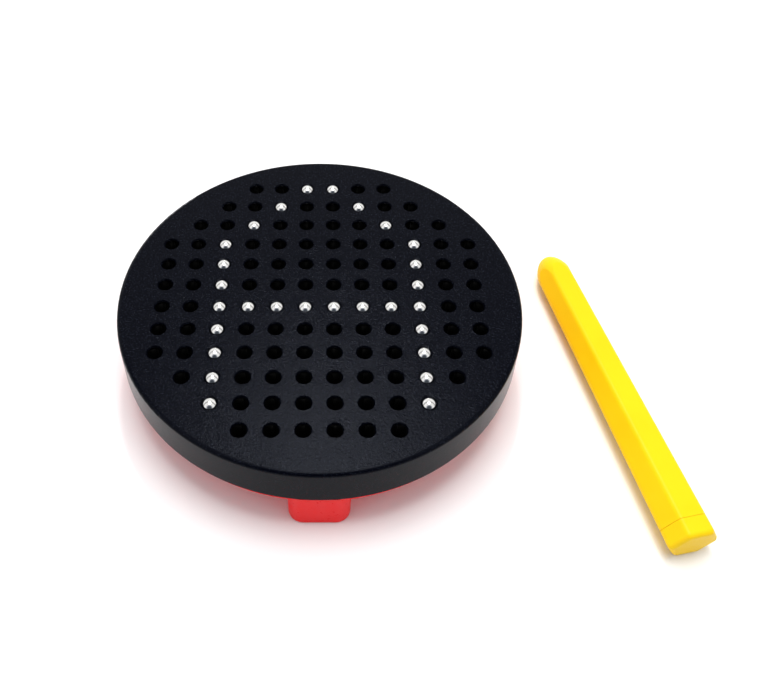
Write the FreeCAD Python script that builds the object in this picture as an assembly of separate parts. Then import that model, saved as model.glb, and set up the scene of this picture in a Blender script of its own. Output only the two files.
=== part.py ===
"""Round magnetic ball drawing board with its stylus, millimetres, +Z up.

The origin is on the table under the centre of the board. The board's front faces -Y, and the stylus
lies on the table at the board's right, beyond +X. One STEP file is written for each sub-part.
"""

import FreeCAD, Part
import math
import os

V = FreeCAD.Vector
UP = V(0, 0, 1)

# Balls and their grid
PITCH = 8.5
BALL_R = 2.25
TRAVEL = 5.0
GRID = 12
ROW_STARTS = (4, 3, 2, 1, 1, 1, 1, 1, 1, 2, 3, 4)
RAISED = {
    1: (6, 7),
    2: (5, 8),
    3: (4, 9),
    4: (3, 10),
    5: (3, 10),
    6: (3, 10),
    7: (3, 4, 5, 6, 7, 8, 9, 10),
    8: (3, 10),
    9: (3, 10),
    10: (3, 10),
    11: (3, 10),
}

# Heights
BOARD_TOP = 28.0
SKIRT_BOTTOM = 15.35
LEG_TOP = 14.9
BASE_BOTTOM = 11.8
PLATE = 1.6
THROAT_DEPTH = 0.5
BALL_CLEARANCE = 0.1

# Hole through the top shell, and guide bore below it
MOUTH_R = 2.42
THROAT_R = 2.16
BORE_R = 2.6
RIB_CREST_R = 2.36
RIB_HALF_WIDTH = 0.3
RIBS = 3

# Top shell
FACE_R = 59.1
RIM_ROUND = 1.2
SKIRT_R = 60.9
SKIRT_INNER_R = 58.6
SKIRT_DRAFT = 0.4
EDGE_BREAK = 0.2

# Guide plate and floor pad
INNER_STACK_R = 56.4
PAD = 1.0

# Base cover
FLOOR = 2.0
BASE_R = 59.6
BASE_EDGE = 0.5
SPIGOT_R = 58.4
SPIGOT_WALL = 1.6
RING_RIBS = (14.0, 28.0, 42.0)
RIB_WALL = 1.4
SPOKES = 8

# Legs
LEG_FACE_R = 60.5
LEG_WIDTH = 17.6
LEG_DEPTH = 12.0
LEG_CORNER = 4.2
LEG_WALL = 1.8
LEG_EDGE = 0.9
LEG_ANGLES = (0, 90, 180, 270)

# Case screws
SCREW_CIRCLE_R = 54.5
SCREW_ANGLES = (45, 135, 225, 315)
SHELL_BOSS_R = 3.2
BASE_BOSS_R = 3.6
BOSS_NOTCH_R = 3.9
BASE_BOSS_TOP = 17.2
SEAT_Z = 15.9
HEAD_R = 2.4
HEAD_HEIGHT = 1.6
HEAD_ROUND = 0.5
HEAD_HOLE_R = 2.7
SHANK_R = 1.2
SHANK_LENGTH = 8.0
SHANK_HOLE_R = 1.4
PILOT_R = 1.25
PILOT_LENGTH = 8.6
CROSS_LENGTH = 2.6
CROSS_WIDTH = 0.6
CROSS_DEPTH = 0.8

# Stylus
STYLUS_LENGTH = 107.5
STYLUS_WIDE_AF = 12.6
STYLUS_NARROW_AF = 10.8
STYLUS_CORNER = 1.6
STYLUS_END_XY = (100.7, -69.7)
STYLUS_ANGLE = 101.7
CAP_LENGTH = 5.7
CAP_ROUND = 1.4
SEAM = 0.1
PLUG_R = 3.9
PLUG_LENGTH = 8.0
CAVITY_R = 4.0
CAVITY_END = 84.0
TIP_LENGTH = 12.0
TIP_SIDE_R = 6.1
MAGNET_R = 3.0
MAGNET_LENGTH = 12.0
MAGNET_CLEARANCE = 0.08

# How far fused pieces run into each other, and how far a cutter runs past the face it opens
OVERLAP = 0.5
THROUGH = 1.0

# Levels that follow from the sizes above
THROAT_Z = BOARD_TOP - THROAT_DEPTH
RAISED_Z = THROAT_Z - math.sqrt((BALL_R + BALL_CLEARANCE) ** 2 - THROAT_R ** 2)
LOWERED_Z = RAISED_Z - TRAVEL
PLATE_BOTTOM = BOARD_TOP - PLATE
PAD_TOP = LOWERED_Z - BALL_R - BALL_CLEARANCE
PAD_BOTTOM = PAD_TOP - PAD
FLOOR_TOP = BASE_BOTTOM + FLOOR
STYLUS_TILT = math.degrees(math.atan((STYLUS_WIDE_AF - STYLUS_NARROW_AF) / 2 / STYLUS_LENGTH))


def polar(radius, degrees, z=0.0):
    turn = math.radians(degrees)
    return V(radius * math.cos(turn), radius * math.sin(turn), z)


def cylinder(radius, low, high, centre=V(0, 0, 0)):
    return Part.makeCylinder(radius, high - low, V(centre.x, centre.y, low), UP)


def ring(outer, inner, low, high):
    return cylinder(outer, low, high).cut(cylinder(inner, low - THROUGH, high + THROUGH))


def revolved(points):
    """Solid of revolution about Z from (radius, height) points of a closed outline."""
    outline = Part.makePolygon([V(r, 0, z) for r, z in points + points[:1]])
    return Part.Face(outline).revolve(V(0, 0, 0), UP, 360)


def grid_cells():
    """(row, column) of every hole, row 1 at the back and column 1 at the left."""
    for row, start in enumerate(ROW_STARTS, 1):
        for column in range(start, GRID + 2 - start):
            yield row, column


def cell_centre(row, column, z=0.0):
    middle = (GRID + 1) / 2
    return V((column - middle) * PITCH, (middle - row) * PITCH, z)


def is_raised(row, column):
    return column in RAISED.get(row, ())


# ---- Top shell -------------------------------------------------------------------------------------


def shell_body():
    """Face plate and skirt in one, with a rounded top edge and a slightly flared wall."""
    side_r = FACE_R + RIM_ROUND
    round_mid = V(FACE_R + RIM_ROUND * math.sin(math.pi / 4), 0,
                  BOARD_TOP - RIM_ROUND * (1 - math.cos(math.pi / 4)))
    corners = [
        V(side_r, 0, BOARD_TOP - RIM_ROUND),
        V(SKIRT_R, 0, SKIRT_BOTTOM + EDGE_BREAK),
        V(SKIRT_R - EDGE_BREAK, 0, SKIRT_BOTTOM),
        V(SKIRT_INNER_R, 0, SKIRT_BOTTOM),
        V(SKIRT_INNER_R - SKIRT_DRAFT, 0, PLATE_BOTTOM),
        V(0, 0, PLATE_BOTTOM),
        V(0, 0, BOARD_TOP),
        V(FACE_R, 0, BOARD_TOP),
    ]
    edges = [Part.LineSegment(a, b).toShape() for a, b in zip(corners, corners[1:])]
    edges.append(Part.Arc(corners[-1], round_mid, corners[0]).toShape())
    return Part.Face(Part.Wire(edges)).revolve(V(0, 0, 0), UP, 360)


def hole_cutter():
    """Hourglass hole: a mouth cone down to the throat, then a cone that seats the raised ball."""
    flare = (MOUTH_R - THROAT_R) / THROAT_DEPTH
    return revolved([
        (0, BOARD_TOP + THROUGH),
        (MOUTH_R + flare * THROUGH, BOARD_TOP + THROUGH),
        (THROAT_R, THROAT_Z),
        (BALL_R + 2 * BALL_CLEARANCE, PLATE_BOTTOM),
        (BALL_R + 2 * BALL_CLEARANCE, PLATE_BOTTOM - THROUGH),
        (0, PLATE_BOTTOM - THROUGH),
    ])


def top_shell():
    shell = shell_body()
    bosses = [cylinder(SHELL_BOSS_R, BASE_BOSS_TOP, PLATE_BOTTOM + OVERLAP, polar(SCREW_CIRCLE_R, a))
              for a in SCREW_ANGLES]
    shell = shell.fuse(bosses)
    pilots = [cylinder(PILOT_R, BASE_BOSS_TOP - THROUGH, BASE_BOSS_TOP + PILOT_LENGTH,
                       polar(SCREW_CIRCLE_R, a)) for a in SCREW_ANGLES]
    cutter = hole_cutter()
    holes = [cutter.translated(cell_centre(row, column)) for row, column in grid_cells()]
    return shell.cut(Part.makeCompound(pilots + holes)).removeSplitter()


# ---- Guide plate and floor pad ---------------------------------------------------------------------


def ribbed_bore(centre):
    """Outline of one guide bore: a circle with grip ribs, the first on the side away from the front."""
    half_turn = math.degrees(math.asin(RIB_HALF_WIDTH / BORE_R))
    edges = []
    for rib in range(RIBS):
        middle = 90 + rib * 360 / RIBS
        across = polar(RIB_HALF_WIDTH, middle + 90)
        crest = centre + polar(RIB_CREST_R, middle)
        start = centre + polar(BORE_R, middle - half_turn)
        finish = centre + polar(BORE_R, middle + half_turn)
        corners = [start, crest - across, crest + across, finish]
        edges += [Part.LineSegment(a, b).toShape() for a, b in zip(corners, corners[1:])]
        wall_middle = centre + polar(BORE_R, middle + 180 / RIBS)
        wall_end = centre + polar(BORE_R, middle + 360 / RIBS - half_turn)
        edges.append(Part.Arc(finish, wall_middle, wall_end).toShape())
    return Part.Wire(edges)


def boss_notches(low, high):
    return [cylinder(BOSS_NOTCH_R, low - THROUGH, high + THROUGH, polar(SCREW_CIRCLE_R, a))
            for a in SCREW_ANGLES]


def ball_guide_plate():
    """Thick plate between the face and the pad, with one ribbed bore for each ball."""
    outer = Part.Wire(Part.Circle(V(0, 0, 0), UP, INNER_STACK_R).toShape())
    bores = [ribbed_bore(cell_centre(row, column)) for row, column in grid_cells()]
    face = Part.makeFace([outer] + bores, "Part::FaceMakerBullseye")
    plate = face.extrude(V(0, 0, PLATE_BOTTOM - PAD_TOP)).translated(V(0, 0, PAD_TOP))
    return plate.cut(boss_notches(PAD_TOP, PLATE_BOTTOM))


def floor_pad():
    """Thin pad that the lowered balls rest on."""
    return cylinder(INNER_STACK_R, PAD_BOTTOM, PAD_TOP).cut(boss_notches(PAD_BOTTOM, PAD_TOP))


# ---- Base cover ------------------------------------------------------------------------------------


def leg_outline(grow, low, high):
    """Upright block with the leg's rounded plan, standing at angle 0, grown by the given amount."""
    length = LEG_DEPTH + 2 * grow
    width = LEG_WIDTH + 2 * grow
    block = Part.makeBox(length, width, high - low, V(LEG_FACE_R + grow - length, -width / 2, low))
    upright = [e for e in block.Edges if abs(e.tangentAt(e.FirstParameter).z) > 0.9]
    return block.makeFillet(LEG_CORNER + grow, upright)


def turned(shape, angle):
    copy = shape.copy()
    copy.rotate(V(0, 0, 0), UP, angle)
    return copy


def legs():
    block = leg_outline(0, 0, LEG_TOP)
    sole = [e for e in block.Edges if e.BoundBox.ZMax < 0.01]
    rounded = block.makeFillet(LEG_EDGE, sole)
    return [turned(rounded, angle) for angle in LEG_ANGLES]


def leg_pockets():
    pocket = leg_outline(-LEG_WALL, LEG_WALL, PAD_BOTTOM + THROUGH)
    return [turned(pocket, angle) for angle in LEG_ANGLES]


def stiffeners():
    """Concentric and radial ribs inside the base that carry the pad."""
    foot = FLOOR_TOP - OVERLAP
    rings = [ring(r + RIB_WALL / 2, r - RIB_WALL / 2, foot, PAD_BOTTOM) for r in RING_RIBS]
    inner = RING_RIBS[0]
    spoke = Part.makeBox(SPIGOT_R - SPIGOT_WALL / 2 - inner, RIB_WALL, PAD_BOTTOM - foot,
                         V(inner, -RIB_WALL / 2, foot))
    first = 180 / SPOKES
    return rings + [turned(spoke, first + k * 360 / SPOKES) for k in range(SPOKES)]


def base_cover():
    """Tray set back under the skirt, with a spigot inside it, and four hollow legs."""
    edge_middle = BASE_EDGE * (1 - math.cos(math.pi / 4))
    tray = revolved([
        (0, BASE_BOTTOM),
        (BASE_R - BASE_EDGE, BASE_BOTTOM),
        (BASE_R - edge_middle, BASE_BOTTOM + edge_middle),
        (BASE_R, BASE_BOTTOM + BASE_EDGE),
        (BASE_R, SKIRT_BOTTOM),
        (SPIGOT_R, SKIRT_BOTTOM),
        (SPIGOT_R, PAD_BOTTOM),
        (SPIGOT_R - SPIGOT_WALL, PAD_BOTTOM),
        (SPIGOT_R - SPIGOT_WALL, FLOOR_TOP),
        (0, FLOOR_TOP),
    ])
    bosses = [cylinder(BASE_BOSS_R, BASE_BOTTOM, BASE_BOSS_TOP, polar(SCREW_CIRCLE_R, a))
              for a in SCREW_ANGLES]
    cover = tray.fuse(legs() + stiffeners() + bosses)
    cuts = leg_pockets()
    for angle in SCREW_ANGLES:
        centre = polar(SCREW_CIRCLE_R, angle)
        cuts.append(cylinder(HEAD_HOLE_R, BASE_BOTTOM - THROUGH, SEAT_Z, centre))
        cuts.append(cylinder(SHANK_HOLE_R, SEAT_Z - THROUGH, BASE_BOSS_TOP + THROUGH, centre))
        cuts.append(cylinder(BASE_BOSS_R, BASE_BOSS_TOP, PAD_BOTTOM + THROUGH, centre))
    return cover.cut(Part.makeCompound(cuts)).removeSplitter()


# ---- Case screws -----------------------------------------------------------------------------------


def screw(centre):
    """Pan-head screw, its head down in the base cover's counterbore."""
    low = SEAT_Z - HEAD_HEIGHT
    head = cylinder(HEAD_R, low, SEAT_Z, centre)
    rim = [e for e in head.Edges if e.BoundBox.ZMax < low + 0.01 and e.Length > HEAD_R]
    head = head.makeFillet(HEAD_ROUND, rim)
    body = head.fuse(cylinder(SHANK_R, SEAT_Z - OVERLAP, SEAT_Z + SHANK_LENGTH, centre))
    slots = []
    for length, width in ((CROSS_LENGTH, CROSS_WIDTH), (CROSS_WIDTH, CROSS_LENGTH)):
        corner = V(centre.x - length / 2, centre.y - width / 2, low - THROUGH)
        slots.append(Part.makeBox(length, width, THROUGH + CROSS_DEPTH, corner))
    return body.cut(slots[0].fuse(slots[1])).removeSplitter()


def case_screws():
    return Part.makeCompound([screw(polar(SCREW_CIRCLE_R, a)) for a in SCREW_ANGLES])


# ---- Balls -----------------------------------------------------------------------------------------


def ball(row, column, z):
    return Part.makeSphere(BALL_R, cell_centre(row, column, z))


def ball_rows():
    """Each row's raised balls and its lowered balls, by node name."""
    rows = {}
    for row, column in grid_cells():
        up = is_raised(row, column)
        name = "balls_row_%02d_%s" % (row, "raised" if up else "lowered")
        rows.setdefault(name, []).append(ball(row, column, RAISED_Z if up else LOWERED_Z))
    return {name: Part.makeCompound(balls) for name, balls in rows.items()}


# ---- Stylus ----------------------------------------------------------------------------------------
# It is built along +X from the middle of its wide end, then tilted so that one flat lies on the table.


def across_flats(x):
    return STYLUS_WIDE_AF + (STYLUS_NARROW_AF - STYLUS_WIDE_AF) * x / STYLUS_LENGTH


def hexagon(x):
    """Rounded hexagon across the axis at x, with a flat at the top and one at the bottom."""
    corner_r = (across_flats(x) / 2 - STYLUS_CORNER) / math.cos(math.pi / 6)
    edges = []
    arcs = []
    for k in range(6):
        middle = V(x, 0, 0) + across_axis(corner_r, 60 * k)
        arcs.append([middle + across_axis(STYLUS_CORNER, 60 * k + turn) for turn in (-30, 0, 30)])
    for this, following in zip(arcs, arcs[1:] + arcs[:1]):
        edges.append(Part.Arc(*this).toShape())
        edges.append(Part.LineSegment(this[2], following[0]).toShape())
    return Part.Wire(edges)


def across_axis(radius, degrees):
    turn = math.radians(degrees)
    return V(0, radius * math.cos(turn), radius * math.sin(turn))


def prism(start, finish):
    return Part.makeLoft([hexagon(start), hexagon(finish)], True, True)


def along(radius, start, finish):
    return Part.makeCylinder(radius, finish - start, V(start, 0, 0), V(1, 0, 0))


def bullet():
    """Body of revolution whose elliptical end rounds the narrow end into a domed tip."""
    start = STYLUS_LENGTH - TIP_LENGTH
    ellipse = Part.Ellipse(V(start, 0, 0), TIP_LENGTH, TIP_SIDE_R)
    corners = [V(start, TIP_SIDE_R, 0), V(0, 2 * TIP_SIDE_R, 0), V(0, 0, 0), V(STYLUS_LENGTH, 0, 0)]
    edges = [Part.LineSegment(a, b).toShape() for a, b in zip(corners, corners[1:])]
    edges.append(Part.ArcOfEllipse(ellipse, 0, math.pi / 2).toShape())
    return Part.Face(Part.Wire(edges)).revolve(V(0, 0, 0), V(1, 0, 0), 360)


def on_table(shape):
    """Tilt the stylus onto its lower flat and lay it at its place beside the board."""
    laid = shape.copy()
    laid.translate(V(0, 0, STYLUS_WIDE_AF / 2))
    laid.rotate(V(0, 0, 0), V(0, 1, 0), STYLUS_TILT)
    laid.rotate(V(0, 0, 0), UP, STYLUS_ANGLE)
    laid.translate(V(STYLUS_END_XY[0], STYLUS_END_XY[1], 0))
    return laid


def stylus_body():
    outside = prism(CAP_LENGTH + SEAM, STYLUS_LENGTH).common(bullet())
    cavity = along(CAVITY_R, 0, CAVITY_END)
    seat = along(MAGNET_R + MAGNET_CLEARANCE, CAVITY_END - THROUGH, CAVITY_END + MAGNET_LENGTH)
    return on_table(outside.cut(cavity.fuse(seat)))


def stylus_end_cap():
    block = prism(0, CAP_LENGTH)
    rim = [e for e in block.Edges if e.BoundBox.XMax < 0.01]
    block = block.makeFillet(CAP_ROUND, rim)
    plug = along(PLUG_R, CAP_LENGTH - OVERLAP, CAP_LENGTH + PLUG_LENGTH)
    return on_table(block.fuse(plug))


def stylus_magnet():
    return on_table(along(MAGNET_R, CAVITY_END, CAVITY_END + MAGNET_LENGTH - MAGNET_CLEARANCE))


# ---- Files -----------------------------------------------------------------------------------------


def nodes():
    made = {
        "top_shell": top_shell(),
        "ball_guide_plate": ball_guide_plate(),
        "floor_pad": floor_pad(),
        "base_cover": base_cover(),
        "case_screws": case_screws(),
        "stylus_body": stylus_body(),
        "stylus_end_cap": stylus_end_cap(),
        "stylus_magnet": stylus_magnet(),
    }
    made.update(ball_rows())
    return made


def main():
    os.makedirs("parts", exist_ok=True)
    for name, shape in nodes().items():
        if not shape.isValid():
            print("not valid:", name)
        shape.exportStep("parts/%s.step" % name)
        box = shape.BoundBox
        print("%-24s solids %3d  x %.2f..%.2f  y %.2f..%.2f  z %.2f..%.2f" % (
            name, len(shape.Solids), box.XMin, box.XMax, box.YMin, box.YMax, box.ZMin, box.ZMax))


main()
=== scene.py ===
"""Looks of the magnetic ball drawing board and its stylus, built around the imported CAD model, in metres."""

import math

import bmesh
import bpy
from mathutils import Matrix, Vector


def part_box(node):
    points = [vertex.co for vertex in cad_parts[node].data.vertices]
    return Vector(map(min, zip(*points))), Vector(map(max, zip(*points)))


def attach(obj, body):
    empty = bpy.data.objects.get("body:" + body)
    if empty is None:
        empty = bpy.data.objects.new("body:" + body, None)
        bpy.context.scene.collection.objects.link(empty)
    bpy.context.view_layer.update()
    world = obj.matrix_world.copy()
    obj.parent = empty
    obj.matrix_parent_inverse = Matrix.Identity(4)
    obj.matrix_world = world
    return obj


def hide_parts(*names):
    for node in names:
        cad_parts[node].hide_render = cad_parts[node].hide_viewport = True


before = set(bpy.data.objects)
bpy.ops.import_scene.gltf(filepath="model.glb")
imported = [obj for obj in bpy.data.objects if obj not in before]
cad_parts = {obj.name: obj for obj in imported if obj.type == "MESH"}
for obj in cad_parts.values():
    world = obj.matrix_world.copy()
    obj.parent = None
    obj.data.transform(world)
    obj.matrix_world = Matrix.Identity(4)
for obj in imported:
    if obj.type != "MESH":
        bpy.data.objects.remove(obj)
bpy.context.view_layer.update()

# Grid and balls: how far apart, and how finely the raised and the lowered ones are divided
PITCH = 0.0085
FINE_BALL = 4
PLAIN_BALL = 3

# Camera, from the middle of the drawing face
CAMERA_ELEVATION = math.radians(52.82)
CAMERA_DISTANCE = 0.2275
CAMERA_AIM = (0.001, -0.01706)
CAMERA_CLIP = 0.01
LENS_MM = 37.15
SENSOR_MM = 36.0
SHIFT_X = 0.080

# Stage and lights
FLOOR_SIZE = 6.0
FLOOR_DROP = 0.00005
SKY_STRENGTH = 1.0
SKY_COLOUR = (1.0, 1.0, 1.0)
PATCH_STRENGTH = 0.08
PATCH_COLOUR = (0.72, 0.82, 1.0)
PATCH_TOWARD = (0.0, -0.85, 0.42)
PATCH_INNER = math.radians(20)
PATCH_OUTER = math.radians(50)
BAND_SHARE = 0.3
BAND_ELEVATION = math.radians(66)
BAND_INNER = math.radians(4)
BAND_OUTER = math.radians(10)
LIGHT_AIM = (0.02, 0.0, 0.0)
OVERHEAD_PLACE = (0.02, 0.06, 0.75)
OVERHEAD_SIZE = 0.4
OVERHEAD_POWER = 3.6
GLINT_PLACE = (0.0, 0.30, 0.65)
GLINT_SIZE = 0.04
GLINT_POWER = 0.85

# The stretch of a noise's values that tones and gloss are spread over
NOISE_LOW = 0.3
NOISE_HIGH = 0.7

# Shell: dark random tones whose brightest flecks are painted glints standing in for sparkle, then gloss and
# grain, which differ between the face and the skirt.
# FACE_FROM and FACE_FULL are how far up the surface points where the face's finish starts and is full.
FLECK_AND_SPARKLE_NOISE = (2400, 1, 0.5)
# The two darker stops are the plastic's own random tone; the brightest stop is painted glint sparkle.
FLECK_AND_PAINTED_GLINT_TONES = [
    (0.50, (0.0008, 0.0010, 0.0028)),
    (0.60, (0.0014, 0.0018, 0.0042)),
    (0.72, (0.0110, 0.0130, 0.0200)),
]
FACE_FROM = 0.985
FACE_FULL = 0.999
SHELL_GLOSS = (0.19, 0.25)
SHELL_GLOSS_NOISE = (900, 3)
FACE_GLOSS_SHARE = 0.85
SHELL_SPECULAR = 0.055
SHELL_TINT = (0.80, 0.86, 1.0, 1.0)
GRAIN_NOISE = (1700, 2, 0.7)
SKIRT_GRAIN_SHARE = 0.12
GRAIN_STRENGTH = 1.0
GRAIN_DEPTH = 0.0001

# The other finishes. Tone wanders between the dark and the light colour, and roughness either
# wanders between the two values of gloss or is one value. A noise is its scale, in features to the
# metre, and its detail. Relief is its strength and its depth in metres.
METAL_SHADE = 0.85
FINISHES = {
    "base_red": {
        "dark": (0.84, 0.006, 0.008),
        "light": (0.90, 0.010, 0.012),
        "tone_noise": (60, 3),
        "gloss": (0.26, 0.38),
        "gloss_noise": (700, 3),
        "specular": 0.1,
        "relief": (0.06, 0.00004),
        "relief_noise": (900, 2),
    },
    "ball_steel": {
        "dark": (0.78, 0.77, 0.75),
        "light": (0.86, 0.85, 0.83),
        "tone_noise": (500, 2),
        "gloss": (0.03, 0.08),
        "gloss_noise": (2500, 3),
        "metallic": 1.0,
    },
    "stylus_yellow": {
        "dark": (0.96, 0.60, 0.003),
        "light": (0.98, 0.65, 0.005),
        "tone_noise": (50, 3),
        "gloss": (0.34, 0.46),
        "gloss_noise": (800, 3),
        "specular": 0.12,
        "relief": (0.08, 0.00005),
        "relief_noise": (1600, 2),
    },
    "guide_black": {
        "dark": (0.002, 0.002, 0.002),
        "light": (0.004, 0.004, 0.004),
        "tone_noise": (80, 3),
        "gloss": (0.3, 0.42),
        "gloss_noise": (900, 3),
        "specular": 0.02,
    },
    "pad_foam": {
        "dark": (0.006, 0.006, 0.006),
        "light": (0.02, 0.02, 0.02),
        "tone_noise": (1500, 4),
        "roughness": 0.95,
        "relief": (0.5, 0.0001),
        "relief_noise": (2500, 3),
    },
    "zinc": {
        "dark": tuple(METAL_SHADE * c for c in (0.62, 0.62, 0.66)),
        "light": (0.62, 0.62, 0.66),
        "tone_noise": (400, 3),
        "gloss": (0.3, 0.45),
        "gloss_noise": (2000, 3),
        "metallic": 1.0,
    },
    "nickel": {
        "dark": tuple(METAL_SHADE * c for c in (0.7, 0.68, 0.64)),
        "light": (0.7, 0.68, 0.64),
        "tone_noise": (400, 3),
        "gloss": (0.15, 0.25),
        "gloss_noise": (2000, 3),
        "metallic": 1.0,
    },
    "floor_white": {
        "dark": (0.93, 0.93, 0.93),
        "light": (0.945, 0.945, 0.945),
        "tone_noise": (30, 2),
        "roughness": 0.8,
        "specular": 0.2,
    },
}


# ---- Shader nodes ----------------------------------------------------------------------------------


def add(tree, kind, **settings):
    """One node, with attributes and, by name, input values set."""
    node = tree.nodes.new("ShaderNode" + kind)
    for key, value in settings.items():
        if hasattr(node, key):
            setattr(node, key, value)
        else:
            node.inputs[key.replace("_", " ")].default_value = value
    return node


def noise(tree, scale, detail, roughness=0.55):
    """Noise over the part's own frame, so that its scale is in features to the metre."""
    place = add(tree, "TexCoord")
    made = add(tree, "TexNoise", Scale=scale, Detail=detail, Roughness=roughness)
    tree.links.new(place.outputs["Object"], made.inputs["Vector"])
    return made.outputs["Fac"]


def ramp(tree, source, stops):
    """Colour ramp from (position, colour) stops."""
    node = add(tree, "ValToRGB")
    while len(node.color_ramp.elements) < len(stops):
        node.color_ramp.elements.new(0.5)
    for element, (position, colour) in zip(node.color_ramp.elements, stops):
        element.position = position
        element.color = (*colour, 1.0)
    tree.links.new(source, node.inputs["Fac"])
    return node.outputs["Color"]


def spread(tree, source, low, high, from_low=NOISE_LOW, from_high=NOISE_HIGH, curve="LINEAR"):
    """The source, stretched to run between low and high."""
    node = add(tree, "MapRange", interpolation_type=curve, From_Min=from_low, From_Max=from_high,
               To_Min=low, To_Max=high)
    tree.links.new(source, node.inputs["Value"])
    return node.outputs["Result"]


def multiply(tree, first, second):
    node = add(tree, "Math", operation="MULTIPLY")
    tree.links.new(first, node.inputs[0])
    tree.links.new(second, node.inputs[1])
    return node.outputs["Value"]


def bump(tree, height, strength, depth):
    node = add(tree, "Bump", Strength=strength, Distance=depth)
    tree.links.new(height, node.inputs["Height"])
    return node.outputs["Normal"]


def toward(tree, vector, axis):
    """How far a direction lies along an axis, from -1 to 1."""
    node = add(tree, "VectorMath", operation="DOT_PRODUCT")
    node.inputs[1].default_value = axis
    tree.links.new(vector, node.inputs[0])
    return node.outputs["Value"]


# ---- Materials -------------------------------------------------------------------------------------


def new_material(name):
    made = bpy.data.materials.new(name)
    made.use_nodes = True
    tree = made.node_tree
    return made, tree, tree.nodes["Principled BSDF"]


def shell_black():
    """Black plastic, grained where it faces up and smoother on the skirt."""
    made, tree, shader = new_material("shell_black")
    # Base colour: dark random tones, with bright flecks painted in as glints on the grain.
    tone = ramp(tree, noise(tree, *FLECK_AND_SPARKLE_NOISE), FLECK_AND_PAINTED_GLINT_TONES)
    tree.links.new(tone, shader.inputs["Base Color"])
    facing = add(tree, "SeparateXYZ")
    tree.links.new(add(tree, "TexCoord").outputs["Normal"], facing.inputs["Vector"])
    face = spread(tree, facing.outputs["Z"], 0.0, 1.0, FACE_FROM, FACE_FULL)
    gloss = spread(tree, noise(tree, *SHELL_GLOSS_NOISE), *SHELL_GLOSS)
    gloss_share = spread(tree, face, 1.0, FACE_GLOSS_SHARE, 0.0, 1.0)
    tree.links.new(multiply(tree, gloss, gloss_share), shader.inputs["Roughness"])
    shader.inputs["Specular IOR Level"].default_value = SHELL_SPECULAR
    shader.inputs["Specular Tint"].default_value = SHELL_TINT
    grain_share = spread(tree, face, SKIRT_GRAIN_SHARE, 1.0, 0.0, 1.0)
    height = multiply(tree, noise(tree, *GRAIN_NOISE), grain_share)
    tree.links.new(bump(tree, height, GRAIN_STRENGTH, GRAIN_DEPTH), shader.inputs["Normal"])
    return made


def finish(name):
    """Material made from its entry in FINISHES."""
    look = FINISHES[name]
    made, tree, shader = new_material(name)
    stops = [(NOISE_LOW, look["dark"]), (NOISE_HIGH, look["light"])]
    tree.links.new(ramp(tree, noise(tree, *look["tone_noise"]), stops), shader.inputs["Base Color"])
    if "gloss" in look:
        gloss = spread(tree, noise(tree, *look["gloss_noise"]), *look["gloss"])
        tree.links.new(gloss, shader.inputs["Roughness"])
    if "relief" in look:
        relief = bump(tree, noise(tree, *look["relief_noise"]), *look["relief"])
        tree.links.new(relief, shader.inputs["Normal"])
    for key, socket in (("roughness", "Roughness"), ("metallic", "Metallic"),
                        ("specular", "Specular IOR Level")):
        if key in look:
            shader.inputs[socket].default_value = look[key]
    return made


def paint(node, look):
    """Give a CAD node's object one material."""
    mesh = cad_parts[node].data
    mesh.materials.clear()
    mesh.materials.append(look)


# ---- Balls -----------------------------------------------------------------------------------------


def ball_columns(node):
    """Grid columns of the node's balls: column 0 is half a pitch to the right of the middle."""
    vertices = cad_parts[node].data.vertices
    return sorted({round(v.co.x / PITCH - 0.5) for v in vertices})


def ball_row(node, look):
    """Smooth balls in place of one row's CAD spheres."""
    low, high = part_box(node)
    middle = (low + high) / 2
    radius = (high.z - low.z) / 2
    detail = FINE_BALL if node.endswith("raised") else PLAIN_BALL
    form = bmesh.new()
    for column in ball_columns(node):
        place = Matrix.Translation(((column + 0.5) * PITCH, middle.y, middle.z))
        bmesh.ops.create_icosphere(form, subdivisions=detail, radius=radius, matrix=place)
    mesh = bpy.data.meshes.new(node + "_polished")
    form.to_mesh(mesh)
    form.free()
    mesh.shade_smooth()
    mesh.materials.append(look)
    piece = bpy.data.objects.new(node + "_polished", mesh)
    bpy.context.scene.collection.objects.link(piece)
    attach(piece, node)
    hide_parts(node)


# ---- Stage -----------------------------------------------------------------------------------------


def floor():
    bpy.ops.mesh.primitive_plane_add(size=FLOOR_SIZE, location=(0, 0, -FLOOR_DROP))
    plane = bpy.context.object
    plane.name = "table"
    plane.data.materials.append(finish("floor_white"))


def area_light(name, place, size, power):
    data = bpy.data.lights.new(name, "AREA")
    data.shape = "DISK"
    data.size = size
    data.energy = power
    lamp = bpy.data.objects.new(name, data)
    lamp.location = place
    lamp.rotation_euler = (Vector(LIGHT_AIM) - Vector(place)).to_track_quat("-Z", "Y").to_euler()
    bpy.context.scene.collection.objects.link(lamp)


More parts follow.
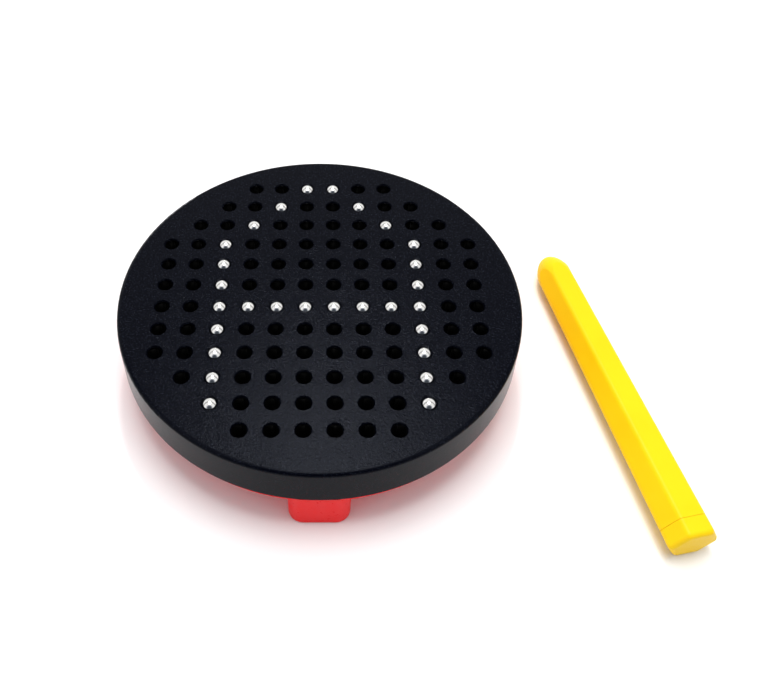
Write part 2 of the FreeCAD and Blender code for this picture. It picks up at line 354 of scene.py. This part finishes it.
def studio_sky(tree):
    """White surroundings that light the object, dimmer in a patch in front, where a photographer
    stands, and in a thin band high up behind, where the backdrop ends. The camera itself sees an
    even light grey past the table."""
    back = tree.nodes["Background"]
    direction = add(tree, "TexCoord").outputs["Generated"]
    patch_along = toward(tree, direction, Vector(PATCH_TOWARD).normalized())
    patch = spread(tree, patch_along, 0.0, 1.0, math.cos(PATCH_OUTER), math.cos(PATCH_INNER),
                   "SMOOTHSTEP")
    tone = ramp(tree, patch, [(0.0, SKY_COLOUR), (1.0, PATCH_COLOUR)])
    tree.links.new(tone, back.inputs["Color"])
    level = spread(tree, patch, SKY_STRENGTH, PATCH_STRENGTH, 0.0, 1.0)

    band_normal = (0, -math.sin(BAND_ELEVATION), math.cos(BAND_ELEVATION))
    away = add(tree, "Math", operation="ABSOLUTE")
    tree.links.new(toward(tree, direction, band_normal), away.inputs[0])
    share = spread(tree, away.outputs["Value"], BAND_SHARE, 1.0,
                   math.sin(BAND_INNER), math.sin(BAND_OUTER))
    tree.links.new(multiply(tree, level, share), back.inputs["Strength"])

    plain = add(tree, "Background")
    shown = add(tree, "MixShader")
    tree.links.new(add(tree, "LightPath").outputs["Is Camera Ray"], shown.inputs["Fac"])
    tree.links.new(back.outputs["Background"], shown.inputs[1])
    tree.links.new(plain.outputs["Background"], shown.inputs[2])
    tree.links.new(shown.outputs["Shader"], tree.nodes["World Output"].inputs["Surface"])


def lights():
    world = bpy.data.worlds.new("studio")
    world.use_nodes = True
    studio_sky(world.node_tree)
    bpy.context.scene.world = world
    area_light("overhead", OVERHEAD_PLACE, OVERHEAD_SIZE, OVERHEAD_POWER)
    area_light("glint", GLINT_PLACE, GLINT_SIZE, GLINT_POWER)


def camera():
    data = bpy.data.cameras.new("camera")
    data.lens = LENS_MM
    data.sensor_width = SENSOR_MM
    data.shift_x = SHIFT_X
    data.clip_start = CAMERA_CLIP
    eye = bpy.data.objects.new("camera", data)
    face_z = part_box("top_shell")[1].z
    aim = Vector((*CAMERA_AIM, face_z))
    back = Vector((0, -math.cos(CAMERA_ELEVATION), math.sin(CAMERA_ELEVATION)))
    eye.location = aim + CAMERA_DISTANCE * back
    eye.rotation_euler = (-back).to_track_quat("-Z", "Y").to_euler()
    bpy.context.scene.collection.objects.link(eye)
    bpy.context.scene.camera = eye


# ---- Making ----------------------------------------------------------------------------------------

camera()
lights()
floor()
bpy.context.scene.view_settings.view_transform = "Standard"

yellow = finish("stylus_yellow")
paint("top_shell", shell_black())
paint("ball_guide_plate", finish("guide_black"))
paint("floor_pad", finish("pad_foam"))
paint("base_cover", finish("base_red"))
paint("case_screws", finish("zinc"))
paint("stylus_body", yellow)
paint("stylus_end_cap", yellow)
paint("stylus_magnet", finish("nickel"))

steel = finish("ball_steel")
for node in sorted(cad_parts):
    if node.startswith("balls_row_"):
        ball_row(node, steel)
